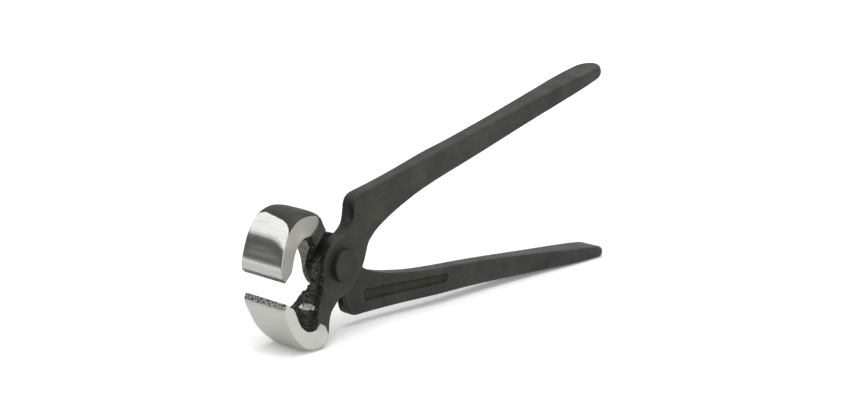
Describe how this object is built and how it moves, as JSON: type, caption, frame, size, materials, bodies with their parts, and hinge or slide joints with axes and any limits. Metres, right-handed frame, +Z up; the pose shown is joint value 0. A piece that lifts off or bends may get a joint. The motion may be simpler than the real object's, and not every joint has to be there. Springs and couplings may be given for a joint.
{
  "type": "end cutting pincers",
  "caption": "Hinged end cutting pincers with wide curved jaws, a flush lap joint on one rivet and two plain black handles that widen to rounded ends.",
  "frame": {"origin": "centre of the overall box on the floor plane, midway along the tool", "axes": "+X along the tool from the jaws to the handle ends, +Y along the pivot axis away from the rivet's head, +Z up"},
  "size_m": [0.2064, 0.022, 0.0888],
  "materials": {
    "forged_steel": "satin",
    "rivet_steel": "satin"
  },
  "bodies": {
    "front": {"front_lever": "forged_steel", "pivot_rivet": "rivet_steel"},
    "rear": {"rear_lever": "forged_steel"}
  },
  "joints": [
    {"name": "pivot", "type": "hinge", "parent": "front", "child": "rear", "pos_m": [-0.06725, 0, 0.02861], "axis": [0, 1, 0], "range_deg": [-13.3, 30]}
  ]
}
